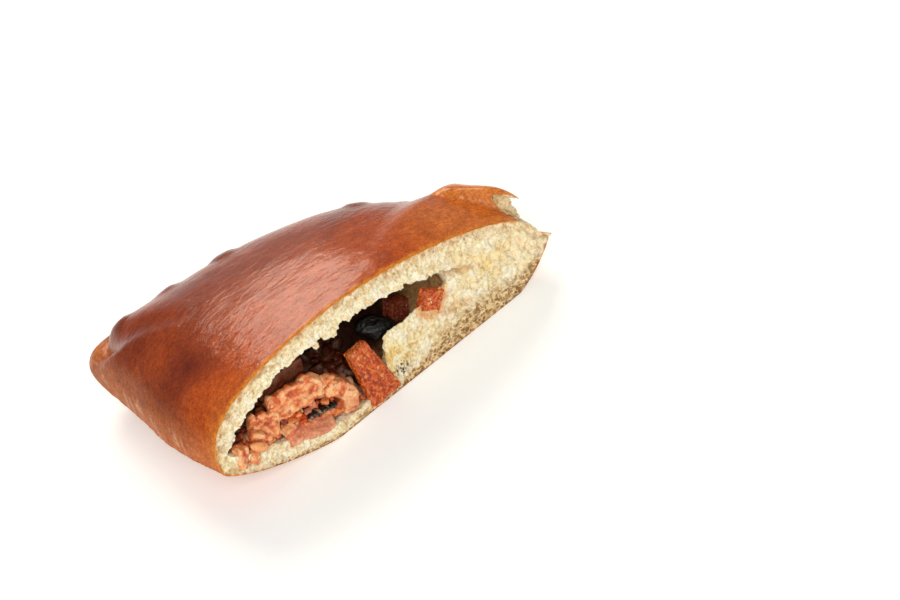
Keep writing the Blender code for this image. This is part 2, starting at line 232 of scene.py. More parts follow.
def bread_skin(around, rows):
    """The whole skin, drawn on a sphere, with some of the other half for the knife to take."""
    shape = bmesh.new()
    bmesh.ops.create_uvsphere(shape, u_segments=around, v_segments=rows, radius=1)
    everything = [*shape.verts, *shape.edges, *shape.faces]
    front = bmesh.ops.bisect_plane(
        shape, geom=everything, plane_co=(0, -0.06, 0), plane_no=(0, -1, 0), clear_outer=True
    )
    edges = [part for part in front["geom_cut"] if isinstance(part, bmesh.types.BMEdge)]
    bmesh.ops.holes_fill(shape, edges=edges, sides=0)
    for vert in shape.verts:
        turn = math.atan2(vert.co.y, vert.co.x)
        level = max(-1.0, min(1.0, vert.co.z))
        share = (1 - level * level) ** blend(0.62, 0.5, foldness(turn))
        reach = from_table(OUTLINE, turn)
        height = top_height(turn, share, reach) if level >= 0 else base_height(turn, share)
        pinch = LOBE_DEPTH / reach * crease(from_table(ARC, turn)) * rope_share(turn)
        out = share * reach * (1 - pinch * ease(0.72, 1.0, share))
        vert.co = Vector((CROWN_X + out * math.cos(turn), out * math.sin(turn), height))
    bmesh.ops.recalc_face_normals(shape, faces=shape.faces)
    shape.normal_update()
    for vert in shape.verts:
        place = vert.co / MM
        spike = bell(place.z - SPIKE_HEIGHT, SPIKE_SPREAD) * ease(5, 0.5, place.y)
        vert.co.x += SPIKE_REACH * MM * spike * ease(56, 66, place.x)
        if place.z < 1:
            continue
        swell = 0.30 * noise.noise(place / 17) + 0.10 * noise.noise(place / 6.5)
        wrinkled = ease(-52, -60, place.x) * ease(28, 19, place.z)
        folds = 0.24 * wrinkled * noise.noise(Vector((place.y / 1.2, place.z / 9, 3.7)))
        vert.co += vert.normal * (swell + folds) * MM * ease(1, 4, place.z)
    return shape


# Pocket: its sides on the face of the cut, its depth, and the walls round it.
POCKET_FOLD_X = -0.0608
POCKET_RIM_X = 0.0265
POCKET_DEPTH = 0.050
POCKET_CENTRE_X = -0.016
BASE_WALL = 0.0040
BASE_SWELL = 0.0022
BASE_SWELL_X = -0.0440
BASE_SWELL_REACH = 0.0070
TOP_WALL = (0.0054, 0.0082)
TOP_WALL_X = (-0.045, -0.004)
LIP_HEIGHT = 0.0215
LIP_X = (-0.0036, -0.0004)
LIP_BACK = (0.0005, 0.0065)
LIP_BACK_HEIGHT = 0.0105


def place_of(x, y):
    """The turn and the share of the way out of a place seen from above."""
    turn = math.atan2(y, x - CROWN_X)
    return turn, min(1.0, math.hypot(x - CROWN_X, y) / from_table(OUTLINE, turn))


def pocket_floor(x, y):
    turn, share = place_of(x, y)
    swell = bell(x - BASE_SWELL_X, BASE_SWELL_REACH)
    low = base_height(turn, share) + BASE_WALL + BASE_SWELL * swell
    lip = blend(LIP_HEIGHT, LIP_BACK_HEIGHT, ease(*LIP_BACK, abs(y)))
    wander = 0.0016 * noise.noise(Vector((y / 0.0022, 4.4, 0)))
    return low + max(0.0, lip - low) * ease(*LIP_X, x + wander)


def pocket_ceiling(x, y):
    turn, share = place_of(x, y)
    wall = blend(*TOP_WALL, ease(*TOP_WALL_X, x))
    return dome_height(turn, share) - wall * blend(1.0, 1.5, share)


def pocket_half_width(side, y):
    """Half the pocket's width on one side of its middle, at a depth behind the cut."""
    narrow = (1 - min(1.0, max(0.0, y) / POCKET_DEPTH) ** 3) ** 0.4
    return abs(side - POCKET_CENTRE_X) * narrow


def pocket_span(x, y):
    """Heights of the pocket's lower and upper skin at a place."""
    side = POCKET_RIM_X if x > POCKET_CENTRE_X else POCKET_FOLD_X
    across = abs(x - POCKET_CENTRE_X) / pocket_half_width(side, y)
    rounding = max(0.0, 1 - across**3.3) ** 0.35
    closing = 0.4 + 0.6 * pocket_half_width(side, y) / pocket_half_width(side, 0)
    low = pocket_floor(x, y)
    high = max(low + 0.001, pocket_ceiling(x, y))
    half_height = (high - low) / 2 * rounding * closing
    return (low + high) / 2 - half_height, (low + high) / 2 + half_height


# The teeth of crumb that hang from the pocket's roof: their places along x, width and drop.
TEETH = ((-0.0225, 0.0010, 0.0026), (-0.0170, 0.0019, 0.0042), (-0.0100, 0.0030, 0.0012))


def pressed(value, power):
    """A value from -1 to 1 raised to a power, its sign kept: a low power squares a curve off."""
    return math.copysign(abs(value) ** power, value)


def evenly(line, count):
    """Points spread evenly along a closed line, whose last point repeats the first."""
    runs = [0.0]
    for before, after in zip(line, line[1:]):
        runs.append(runs[-1] + (after - before).length)
    spread, index = [], 0
    for point in range(count):
        wanted = runs[-1] * point / count
        while runs[index + 1] < wanted:
            index += 1
        step = max(runs[index + 1] - runs[index], 1e-9)
        spread.append(line[index].lerp(line[index + 1], (wanted - runs[index]) / step))
    return spread


def pocket_ring(y, points, spare=900):
    """The pocket's section at a depth behind the cut, as evenly spaced points."""
    fine = []
    for point in range(spare):
        angle = 2 * math.pi * point / spare
        across = pressed(math.cos(angle), 0.6)
        side = POCKET_RIM_X if across > 0 else POCKET_FOLD_X
        x = POCKET_CENTRE_X + across * pocket_half_width(side, y)
        low, high = pocket_span(x, y)
        if math.sin(angle) > 0:
            for tooth_x, reach, drop in TEETH:
                hang = bell(x - tooth_x, reach) * ease(0.0045, 0.0015, y)
                high -= drop * hang
        fine.append(Vector((x, y, high if math.sin(angle) > 0 else low)))
    return evenly([*fine, fine[0]], points)


def wall_relief(place, y):
    """How far the pocket's wall is eaten away, in mm, at a place in mm."""
    lumps = 0.9 * noise.noise(place / 6) + 0.45 * noise.noise(place / 2.6)
    torn = 1.0 * noise.noise(place / 2.7) + 0.5 * noise.noise(place / 1.1)
    torn += 0.25 * noise.noise(place / 0.6)
    return lumps * ease(0, 6, y) + torn * blend(1.0, 0.45, ease(1, 6, y))


def sheet_of(columns, rows, place):
    """A grid of columns by rows whose corners are moved to where place(column, row) says."""
    shape = bmesh.new()
    bmesh.ops.create_grid(shape, x_segments=columns, y_segments=rows, size=1)
    for vert in shape.verts:
        column = round((vert.co.x + 1) / 2 * columns)
        row = round((vert.co.y + 1) / 2 * rows)
        vert.co = place(column, row)
    return shape


def close_ends(shape):
    """Closes the seam of a rolled-up sheet and the holes at its ends, faces pointing out."""
    bmesh.ops.remove_doubles(shape, verts=shape.verts, dist=1e-7)
    rims = [edge for edge in shape.edges if edge.is_boundary]
    bmesh.ops.holes_fill(shape, edges=rims, sides=0)
    bmesh.ops.recalc_face_normals(shape, faces=shape.faces)
    return shape


def pocket_hollow(points=360, rows=44):
    """The hollow of the pocket, torn at its mouth and lumpy further in."""
    depths = [-0.004, -0.0015]
    depths += [0.97 * POCKET_DEPTH * (row / (rows - 2)) ** 1.7 for row in range(rows - 1)]
    rings = []
    for y in depths:
        plain = pocket_ring(y, points)
        torn = []
        for index, point in enumerate(plain):
            ahead = plain[(index + 2) % points] - plain[index - 2]
            outward = Vector((ahead.z, 0, -ahead.x)).normalized()
            eaten = wall_relief(point / MM, y / MM)
            torn.append(point + outward * eaten * MM)
        rings.append(torn)
    last = len(depths) - 1
    return close_ends(
        sheet_of(points, last, lambda column, row: rings[row][column % points])
    )


def patches(place, low, high):
    """1 in random patches and 0 between them; low and high are where their edges run."""
    return ease(low, high, noise.noise(place))


def pore(place, cell, reach=0.46):
    """Depth of the round pores of one size, 0 to 1, at a place in mm."""
    near = noise.voronoi(place / cell)[0][0]
    return max(0.0, 1 - (near / reach) ** 2)


# Outline of the cut, to know how far a place on its face lies from the skin.
EDGE_LINE = []
for step in range(1200):
    out = 1 - (step / 600 - 1) ** 2
    for turn in (0.0, math.pi):
        reach = OUTLINE[0] if turn == 0 else OUTLINE[-1]
        x = CROWN_X + out * reach * math.cos(turn)
        height = top_height(turn, out, reach) if step < 600 else base_height(turn, out)
        EDGE_LINE.append(Vector((x, 0, height)))
EDGE_TREE = kdtree.KDTree(len(EDGE_LINE))
for index, point in enumerate(EDGE_LINE):
    EDGE_TREE.insert(point, index)
EDGE_TREE.balance()


def rind_depth(x, z):
    """Distance in mm from the skin's line on the face of the cut."""
    return EDGE_TREE.find(Vector((x, 0, z)))[2] / MM


def lace(x, z):
    """0 to 1 in the lacy band of small pores along the bottom crust, at a place in mm."""
    top = 1.5 + 2.6 * ease(-2, 10, x) + 5.8 * ease(8, 22, x)
    top += 1.1 * noise.noise(Vector((x / 2.6, z / 2.6, 9))) - 6.2 * ease(40, 60, x)
    height = z - base_height(*place_of(x * MM, 0)) / MM
    along = ease(-56, -46, x) * ease(64, 58, x)
    thin = 0.75 + 0.6 * noise.noise(Vector((x / 1.7, z / 1.3, 4)))
    return min(1.0, along * ease(top + 0.6, 0.45 * top, height) * thin)


def crumb_pits(x, z):
    """Depth of the crumb's pores, 0 to 1, at a place in mm on the face of the cut."""
    place = Vector((x, 2.3, z))
    wide = pore(place, 2.6) * patches(place / 5, 0.0, 0.35)
    strewn = patches(place / 3 + Vector((5, 5, 5)), -0.2, 0.2)
    small = 0.8 * pore(place + Vector((9, 4, 1)), 1.15) * strewn
    return max(wide, small)


# Where the crumb tore away at the rim end: the tear's line as (height, place along x) in mm.
TEAR_LINE = (
    *((11.4, 74.0), (11.9, 68.0), (13.9, 60.6), (16.1, 63.6)),
    *((24.7, 57.4), (28.0, 55.3), (40.0, 54.0)),
)
TEAR_DEPTH = (11.0, 4.5)


def torn_away(x, z):
    """0 to 1 beyond the line where the rim end tore instead of being cut, at a place in mm."""
    if z < TEAR_LINE[0][0]:
        return 0.0
    line = TEAR_LINE[-1][1]
    for (low, first), (high, second) in zip(TEAR_LINE, TEAR_LINE[1:]):
        if low <= z < high:
            line = blend(first, second, (z - low) / (high - low))
    ragged = 0.6 * noise.noise(Vector((x / 1.6, z / 1.6, 2)))
    return ease(-0.2, 0.5, x - line + ragged)


def ridged(place):
    """Thin ridges and wide hollows, 0 on a ridge and 1 in a hollow."""
    return min(1.0, 2.4 * abs(noise.noise(place)))


def crack_at(x, z, reach):
    """0 to 1 over the crack that runs on from the pocket's end, at a place in mm."""
    line = 26.6 - 0.46 * (x - 25) + 0.9 * noise.noise(Vector((x / 3, 0.3, 0.8)))
    along = ease(20, 24, x) * ease(42, 33, x)
    return along * bell(z - line, reach)


def cut_relief(x, z):
    """How far the crumb lies behind the knife's plane, in mm, at a place in mm."""
    place = Vector((x, 0.7, z))
    rind = rind_depth(x * MM, z * MM)
    rough = ease(12, 34, x)
    flakes = (0.40 + 1.05 * rough) * ridged(place / 3.6 + Vector((7, 1, 3)))
    flakes += 0.45 * ridged(place / 1.45)
    strands = 0.45 * noise.noise(Vector((x / 0.95, 0.4, z / 4.5))) * ease(-34, -20, x)
    fuzz = 0.34 * noise.noise(place / 0.8)
    crack = crack_at(x, z, 0.6)
    band = lace(x, z)
    pits = 0.9 * crumb_pits(x, z) * (1 - 0.4 * rough) * (1 - band)
    depth = 0.2 + (flakes + strands) * (1 - 0.7 * band) + fuzz + pits + 2.6 * crack
    depth *= 1 - 0.7 * ease(9.5, 5.5, z) * ease(4, -6, x)
    depth *= ease(0.1, 1.2, rind)
    torn = torn_away(x, z)
    over = z - 30.5 + 0.9 * (x - 57.5)
    tear = blend(*TEAR_DEPTH, ease(-1.0, 2.5, over)) + 0.9 * noise.noise(place / 2.1)
    return depth + torn * tear


SLAB = ((-0.0700, 0.0710), (-0.0030, 0.0520))


def knife_slab(columns=430, rows=168):
    """What the knife took away: a block whose inner side carries the crumb's relief."""

    def place(column, row):
        x = blend(*SLAB[0], column / columns)
        z = blend(*SLAB[1], row / rows)
        return Vector((x, cut_relief(x / MM, z / MM) * MM, z))

    shape = sheet_of(columns, rows, place)
    steep = [edge for edge in shape.edges if edge.calc_length() > 1.2 * MM]
    bmesh.ops.subdivide_edges(shape, edges=steep, cuts=7, use_grid_fill=True)
    for vert in shape.verts:
        x, y, z = vert.co / MM
        torn = ease(1.5, 2.5, y) * ease(52, 54, x)
        lumps = 0.9 * noise.noise(vert.co / MM / 2.3) + 0.35 * noise.noise(vert.co / MM / 0.9)
        vert.co.x += torn * lumps * MM
    rims = [edge for edge in shape.edges if edge.is_boundary]
    drawn = bmesh.ops.extrude_edge_only(shape, edges=rims)["geom"]
    for part in drawn:
        if isinstance(part, bmesh.types.BMVert):
            part.co.y = -0.012
    return close_ends(shape)


def as_object(name, shape, *finishes):
    """A mesh object made from a bmesh, shaded smooth."""
    mesh = bpy.data.meshes.new(name)
    for face in shape.faces:
        face.smooth = len(face.verts) < 5
    shape.to_mesh(mesh)
    shape.free()
    for finish in finishes:
        mesh.materials.append(finish)
    made = bpy.data.objects.new(name, mesh)
    bpy.context.scene.collection.objects.link(made)
    return made


def carve(body, cutter):
    """Takes the cutter out of the body for good; the cutter's finish lines the cut."""
    work = body.modifiers.new("carve", "BOOLEAN")
    work.object = cutter
    work.operation = "DIFFERENCE"
    work.solver = "EXACT"
    graph = bpy.context.evaluated_depsgraph_get()
    carved = bpy.data.meshes.new_from_object(body.evaluated_get(graph), depsgraph=graph)
    body.modifiers.clear()
    body.data = carved
    bpy.data.objects.remove(cutter)


def srgb(red, green, blue):
    """A colour given as 0 to 255 screen values, as linear values."""
    return [
        (part / 255 / 12.92) if part < 10.4 else ((part / 255 + 0.055) / 1.055) ** 2.4
        for part in (red, green, blue)
    ]


def mixed(first, second, share):
    return [blend(one, two, share) for one, two in zip(first, second)]


def feed(tree, node, inputs):
    """Sets or links a node's inputs by name or number."""
    for name, value in inputs.items():
        if isinstance(value, bpy.types.NodeSocket):
            tree.links.new(value, node.inputs[name])
        else:
            node.inputs[name].default_value = value


def put(tree, kind, inputs=None, **settings):
    """Adds a shader node, with its inputs set or linked by name or number."""
    made = tree.nodes.new("ShaderNode" + kind)
    for name, value in settings.items():
        setattr(made, name, value)
    feed(tree, made, inputs or {})
    return made


def painted(tree, name):
    """What is painted on the mesh under a name, as a colour and as a number."""
    made = put(tree, "Attribute", attribute_name=name)
    return made.outputs["Color"], made.outputs["Fac"]


def grains(tree, spot, scale, detail, roughness=0.5):
    """Soft random grains, 0 to 1: the higher the scale, the finer they are."""
    inputs = {"Vector": spot, "Scale": scale, "Detail": detail, "Roughness": roughness}
    return put(tree, "TexNoise", inputs).outputs["Fac"]


def multiplied(tree, shade, *layers, share=1.0):
    """The shade with each layer of colour multiplied over it."""
    for layer in layers:
        inputs = {0: share, 6: shade, 7: layer}
        shade = put(tree, "Mix", inputs, data_type="RGBA", blend_type="MULTIPLY").outputs[2]
    return shade


def relief(tree, height, strength, distance, under=None):
    """Bumps of a height, laid over the relief under them."""
    inputs = {"Height": height, "Strength": strength, "Distance": distance}
    if under is not None:
        inputs["Normal"] = under
    return put(tree, "Bump", inputs).outputs["Normal"]


def new_finish(name):
    """An empty material and its Principled shader."""
    made = bpy.data.materials.new(name)
    made.use_nodes = True
    return made, made.node_tree, made.node_tree.nodes["Principled BSDF"]


def ramp(tree, factor, stops):
    """A colour ramp through (place, colour) stops."""
    made = put(tree, "ValToRGB", {"Fac": factor})
    steps = made.color_ramp.elements
    for index, (place, colour) in enumerate(stops):
        step = steps[index] if index < 2 else steps.new(place)
        step.position = place
        step.color = (*colour, 1)
    return made.outputs["Color"]


# Crust: brown and glossy from the egg wash, mottled, with faint streaks along the fold.
crust, tree, shader = new_finish("egg_washed_crust")
tone, _ = painted(tree, "tone")
_, brushed = painted(tree, "wash")
spot = put(tree, "TexCoord").outputs["Object"]
drawn = put(tree, "Mapping", {"Vector": spot, "Scale": (0.4, 1, 1), "Rotation": (0, 0, 0.15)})
along = drawn.outputs[0]
fine = grains(tree, spot, 1500, 3, 0.62)
patchy = grains(tree, spot, 190, 5, 0.62)
streaks = grains(tree, along, 700, 4)
speckle = ramp(tree, fine, [(0.34, (0.78, 0.66, 0.58)), (0.62, (1.16, 1.26, 1.34))])
clouds = ramp(tree, patchy, [(0.34, (0.90, 0.82, 0.78)), (0.66, (1.08, 1.12, 1.12))])
lines = ramp(tree, streaks, [(0.34, (0.84, 0.78, 0.74)), (0.66, (1.12, 1.16, 1.18))])
gloss = put(
    tree, "MapRange", {"Value": brushed, "From Max": 0.7, "To Min": 0.55, "To Max": 0.44}
).outputs["Result"]
rolling = relief(tree, grains(tree, along, 240, 3), 0.3, 0.0009)
crinkled = relief(tree, grains(tree, along, 620, 4, 0.6), 0.5, 0.0004, rolling)
crust_look = {
    "Base Color": multiplied(tree, tone, speckle, clouds, lines),
    "Roughness": gloss,
    "Specular IOR Level": 0.12,
    "Specular Tint": (1.0, 0.60, 0.36, 1),
    "Coat Weight": brushed,
    "Coat Roughness": 0.05,
    "Coat IOR": 1.48,
    "Normal": relief(tree, fine, 0.25, 0.0002, crinkled),
    "Coat Normal": crinkled,
}
feed(tree, shader, crust_look)

# Crumb: pale, open and dull, with its tone painted on the mesh and fine pores over it, and
# the small round holes of the lacy band by the bottom crust. Both pores and holes are
# darkened in the colour: painted shade in them.
crumb, tree, shader = new_finish("open_crumb")
tone, _ = painted(tree, "tone")
_, band = painted(tree, "lace")
spot = put(tree, "TexCoord").outputs["Object"]
fine = grains(tree, spot, 1500, 4, 0.65)
pored = grains(tree, spot, 620, 3, 0.6)
warp = put(tree, "TexNoise", {"Vector": spot, "Scale": 500, "Detail": 1}).outputs["Color"]
bent = put(tree, "Mix", {0: 0.0012, 4: spot, 5: warp}, data_type="VECTOR").outputs[1]
rows = put(tree, "Mapping", {"Vector": bent, "Scale": (0.7, 0.7, 1)}).outputs[0]
cells = put(tree, "TexVoronoi", {"Vector": rows, "Scale": 1180}).outputs["Distance"]
uneven = put(tree, "Math", {0: pored, 1: 0.9, 2: -0.45}, operation="MULTIPLY_ADD").outputs[0]
uneven = put(tree, "Math", {0: cells, 1: uneven}).outputs[0]
grain = ramp(tree, fine, [(0.36, (0.90, 0.82, 0.68)), (0.56, (1.10, 1.10, 1.10))])
# Darker in the pores and in the lacy band's holes: painted shade.
pores = ramp(tree, pored, [(0.32, (0.82, 0.71, 0.54)), (0.48, (1.05, 1.05, 1.05))])
holes = ramp(tree, uneven, [(0.42, (0.34, 0.22, 0.13)), (0.64, (1.04, 1.04, 1.04))])
crumb_look = {
    "Base Color": multiplied(tree, multiplied(tree, tone, grain, pores), holes, share=band),
    "Roughness": 0.72,
    "Specular IOR Level": 0.25,
    "Subsurface Weight": 0.22,
    "Subsurface Radius": (1.0, 0.7, 0.4),
    "Subsurface Scale": 0.0010,
    "Normal": relief(tree, pored, 0.9, 0.0011, relief(tree, fine, 0.9, 0.0005)),
}
feed(tree, shader, crumb_look)

bread = as_object("bread", bread_skin(384, 144), crust, crumb)
slab = as_object("slab", knife_slab(), crumb)
carve(bread, slab)
hollow_shape = as_object("hollow", pocket_hollow(), crumb)
carve(bread, hollow_shape)

GOLD = srgb(214, 132, 50)
SKIN_MID = srgb(178, 76, 22)
SKIN_LIGHT = srgb(214, 122, 50)
SKIN_GOLD = srgb(222, 134, 60)
SKIN_DARK = srgb(112, 36, 12)
SKIN_PALE = srgb(216, 172, 112)
CREAM = srgb(255, 248, 226)
CREAM_WARM = srgb(253, 240, 202)
SHADED = srgb(226, 198, 140)
PIT = srgb(188, 138, 82)
TAN = srgb(206, 166, 104)
LACE = srgb(232, 206, 158)
BASE_LINE = srgb(176, 118, 62)
PINK_SHEEN = srgb(222, 166, 126)
SOAKED = srgb(120, 62, 30)
DEEP_SHADE_AND_SOAK = srgb(62, 28, 14)
TAN_INSIDE = srgb(196, 148, 88)
YELLOW = srgb(246, 204, 66)
BROWN_STAIN = srgb(206, 140, 66)
BURNT = srgb(52, 26, 12)
CUBE_OIL = srgb(226, 150, 62)
TORN_PALE = srgb(255, 236, 200)
TORN_WARM = srgb(240, 204, 150)
# Where cheese and oil coloured the crumb: places along x and z, and reach, in mm.
YELLOW_SPOTS = ((43.4, 18.8, 2.0), (38.0, 21.6, 1.4), (-2.0, 14.0, 2.6), (0.5, 9.0, 2.0))
# Other marks on the cut, along x and z: a stain, a burnt fleck, and oil in a ring round the cube.
STAIN_AT = (25.5, 12.6)
BURNT_AT = (1.6, 6.2)
CUBE_AT = (19.2, 20.9)
CUBE_RING = 5.2


def skin_tone(place):
    """The crust's tone at a place in mm: darker on its heights, golden at the cut, pale below."""
    x, y, z = place
    drift = noise.noise(place / 14)
    dark = ease(14, 44, y + 6 * drift) * 0.75
    high = ease(-26, -52, x) * ease(12, 25, z + 0.1 * x + 6)
    dark = max(dark, high * ease(8, 28, y + 5 * drift))
    tone = mixed(SKIN_MID, SKIN_DARK, dark * (0.8 + 0.5 * drift))
    light = ease(9, 2, y + 3 * drift) * ease(44, 30, z) * ease(0, -30, x)
    light = max(light, 0.9 * ease(34, 8, y) * ease(14, 38, x))
    # Lighter on the low fold side, which faces away from the lamps: painted light there.
    light = max(light, 0.75 * ease(-44, -58, x) * ease(36, 20, z))
    tone = mixed(tone, SKIN_LIGHT, 0.8 * light)
    raised = hump_at(x * MM, y * MM) / MM
    tone = mixed(tone, SKIN_GOLD, 0.7 * ease(0.0, 0.6, raised))
    tone = mixed(tone, GOLD, 0.6 * ease(0.0, 0.5, raised) * ease(2.4, 0.9, raised))
    blister = noise.noise(place / 3.2)
    tone = mixed(tone, SKIN_DARK, 0.22 * ease(0.18, 0.5, blister))
    band = ease(1.7, 0.3, y + 0.9 * noise.noise(place / 1.6))
    tone = mixed(tone, GOLD, band)
    # Pale pink streaks along the creases of the low fold side: a painted sheen on its wrinkles.
    crease_line = noise.noise(Vector((y / 0.9, z / 9, 3.7)))
    wrinkled = ease(-50, -60, x) * ease(29, 20, z) * ease(8, 20, y)
    wrinkled *= patches(place / 7, -0.45, 0.1)
    tone = mixed(tone, PINK_SHEEN, 0.8 * wrinkled * ease(0.02, 0.36, crease_line))
    for lobe_x, lobe_y in HIGH_LOBES:
        away = math.hypot(x * MM - lobe_x, y * MM - lobe_y)
        tone = mixed(tone, srgb(92, 32, 14), 0.8 * bell(away, HIGH_LOBE_REACH))
    below = ease(9, 2.5, z + 2.5 * drift)
    tone = mixed(tone, SKIN_PALE, below)
    tip = ease(61, 64.5, x) * ease(8.5, 9.5, z) * ease(14.5, 13.5, z)
    return mixed(tone, CREAM_WARM, 0.85 * tip * ease(5, 2, y))


def crumb_tone(place):
    """The crumb's tone at a place in mm, on the face of the cut or in the pocket."""
    x, y, z = place
    rind = rind_depth(x * MM, z * MM)
    drift = noise.noise(place / 5)
    tone = mixed(CREAM, CREAM_WARM, 0.5 + 0.9 * drift)
    shaded = patches(place / 2.8 + Vector((0, 0, 8)), 0.05, 0.4)
    tone = mixed(tone, SHADED, 0.45 * shaded * ease(3.5, 0, y))
    # The pores on the cut are darkened: painted shade in them.
    pits = crumb_pits(x, z)
    tone = mixed(tone, PIT, 0.62 * pits * ease(3.5, 0, y))
    baked = ease(6.0, 0.8, rind + 3.0 * drift) * ease(8, 14, z)
    grainy_bake = 0.18 + 0.5 * patches(place / 1.3, -0.1, 0.3)
    tone = mixed(tone, TAN, baked * grainy_bake)
    toast = ease(5.5, 1.5, rind) * ease(10, 16, z) * ease(48, 36, x)
    toast *= patches(place / 2.1 + Vector((2, 2, 2)), 0.12, 0.42)
    tone = mixed(tone, PIT, 0.75 * toast * ease(2.5, 0.5, y))
    # Rows of small pores by the bottom crust, darkened in tan: painted shade in them.
    low_pores = patches(Vector((x / 0.8, 3.1, z / 0.5)), 0.05, 0.35)
    tone = mixed(tone, TAN, 0.8 * low_pores * ease(3.6, 1.2, rind) * ease(9, 5, z))
    band = lace(x, z) * ease(3, 1, y)
    tone = mixed(tone, LACE, min(1.0, 1.2 * band))
    tone = mixed(tone, TAN, 0.75 * band * patches(place / 1.5, -0.1, 0.4))
    for spot_x, spot_z, reach in YELLOW_SPOTS:
        away = math.hypot((x - spot_x) / 1.8, z - spot_z) / reach
        tone = mixed(tone, YELLOW, 0.75 * math.exp(-away) * ease(-0.3, 0.2, drift))
    stain = bell(x - STAIN_AT[0], 6) * bell(z - STAIN_AT[1] + 0.3 * (x - 25), 1.5)
    tone = mixed(tone, BROWN_STAIN, 0.75 * stain * patches(place / 1.7, -0.3, 0.2))
    burnt = min(1, 1.6 * bell(x - BURNT_AT[0], 3.0) * bell(z - BURNT_AT[1], 2.4))
    tone = mixed(tone, BURNT, burnt * patches(place / 0.75, 0.02, 0.16))
    from_cube = math.hypot(x - CUBE_AT[0], z - CUBE_AT[1])
    tone = mixed(tone, CUBE_OIL, 0.7 * bell(from_cube - CUBE_RING, 1.6))
    # Brown along the crack: partly stained crumb, partly painted shade in the crack.
    tone = mixed(tone, BROWN_STAIN, 0.6 * crack_at(x, z, 1.0) * ease(4, 1, y))
    line, wide = (GOLD, 0.9) if z > 12 and x < 57 else (BASE_LINE, 0.45)
    tone = mixed(line, tone, ease(0.1, wide, rind + 0.6 * noise.noise(place / 1.5)))
    if x > 50 and y > 1.2:
        torn_tone = mixed(TORN_PALE, TORN_WARM, 0.6 * patches(place / 1.8, -0.1, 0.45))
        return mixed(tone, torn_tone, ease(1.2, 2.0, y))
    # The pocket's walls darken the further in they go: partly soaked with sauce, partly painted
    # shade, all but black deep inside.
    inside = ease(2.2, 6.5, y + 1.5 * drift)
    dry = ease(6, 15, x)
    tone = mixed(tone, mixed(SOAKED, TAN_INSIDE, dry), inside * 0.9)
    return mixed(tone, DEEP_SHADE_AND_SOAK, ease(6 + 8 * dry, 14 + 12 * dry, y))


def wash_share(place):
    """How much egg wash the crust carries at a place in mm: the brush misses its low sides."""
    x, y, z = place
    drift = noise.noise(place / 9)
    above = ease(16, 27, z + 3 * drift) * ease(-62, -50, x + 0.2 * z + 2 * drift)
    return blend(0.05, 0.62, above) * ease(0.4, 1.4, y)


skin_corners, crumb_corners = set(), set()
for face in bread.data.polygons:
    (crumb_corners if face.material_index else skin_corners).update(face.vertices)
# All three are made before they are fetched, because a new one moves the others.
PAINTS = {"tone": "FLOAT_COLOR", "lace": "FLOAT", "wash": "FLOAT"}
for name, kind in PAINTS.items():
    bread.data.attributes.new(name, kind, "POINT")
tones, laces, washes = [bread.data.attributes[name].data for name in PAINTS]
for vert in bread.data.vertices:
    place = vert.co / MM
    if vert.index not in crumb_corners:
        tone = skin_tone(place)
    else:
        tone = GOLD if vert.index in skin_corners else crumb_tone(place)
    tones[vert.index].color = (*tone, 1)
    laces[vert.index].value = lace(place.x, place.z) if place.y < 2.5 else 0.0
    washes[vert.index].value = wash_share(place)

# The frame's own place is read from the sausage cube, whose box is centred on its middle.
CUBE_CENTRE = Vector((0.0186, 0.0038, 0.0219))
low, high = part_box("sausage_cube")
TO_FRAME = Matrix.Translation((low + high) / 2 - CUBE_CENTRE)


def settle(piece, slot, *nodes):
    """Moves a finished piece's mesh to the frame's place and hands it over."""
    piece.data.transform(TO_FRAME)
    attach(piece, "root")
    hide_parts(*nodes)


settle(bread, "crust", "dough")

# --- Ham ---
# Slices and ends of cured ham, cut by hand, moist and pink to orange where the sauce soaked in.
# They lie on the pocket's floor in the folded half of the cut, one over another.

# Each slice: its path, the direction across it, its width and its thickness, in mm.
HAM_SLICES = {
    "ham_long": (
        ((-42.6, 5.7, 21.8), (-36.5, 5.0, 21.0), (-30.5, 4.4, 20.7), (-24.4, 3.7, 21.2)),
        (0, 0.30, 0.95), 8.6, 2.9,
    ),
    "ham_left": (
        ((-50.6, 5.6, 21.0), (-46.5, 4.8, 19.4), (-41.4, 3.8, 17.2)),
        (0.25, 0.25, 0.93), 8.4, 2.9,
    ),
    "ham_curl": (
        ((-51.8, 2.4, 22.2), (-49.0, 1.8, 20.0), (-46.6, 1.9, 16.6)),
        (0, 1, 0), 3.4, 1.8,
    ),
    "ham_arch": (
        ((-24.2, 4.0, 17.8), (-20.4, 3.5, 15.6), (-17.9, 3.0, 10.8), (-19.6, 2.6, 4.8)),
        (0, 1, 0), 6.4, 5.6,
    ),
    "ham_low": (
        ((-42.0, 2.6, 11.2), (-34.0, 2.5, 8.4), (-25.4, 2.3, 5.4)),
        (0, 0.8, 0.6), 5.4, 4.2,
    ),
    "ham_behind": (
        ((-42, 10.1, 24.4), (-33, 10.3, 25.6), (-24.5, 10.3, 25.0)),
        (0, 0, 1), 5.8, 2.3,
    ),
}

HAM_PALE = srgb(250, 200, 144)
HAM_MID = srgb(238, 146, 84)
HAM_DEEP = srgb(206, 88, 42)
HAM_RED = srgb(160, 48, 20)
HAM_PINK = srgb(226, 152, 124)
HAM_FAT = srgb(252, 214, 170)


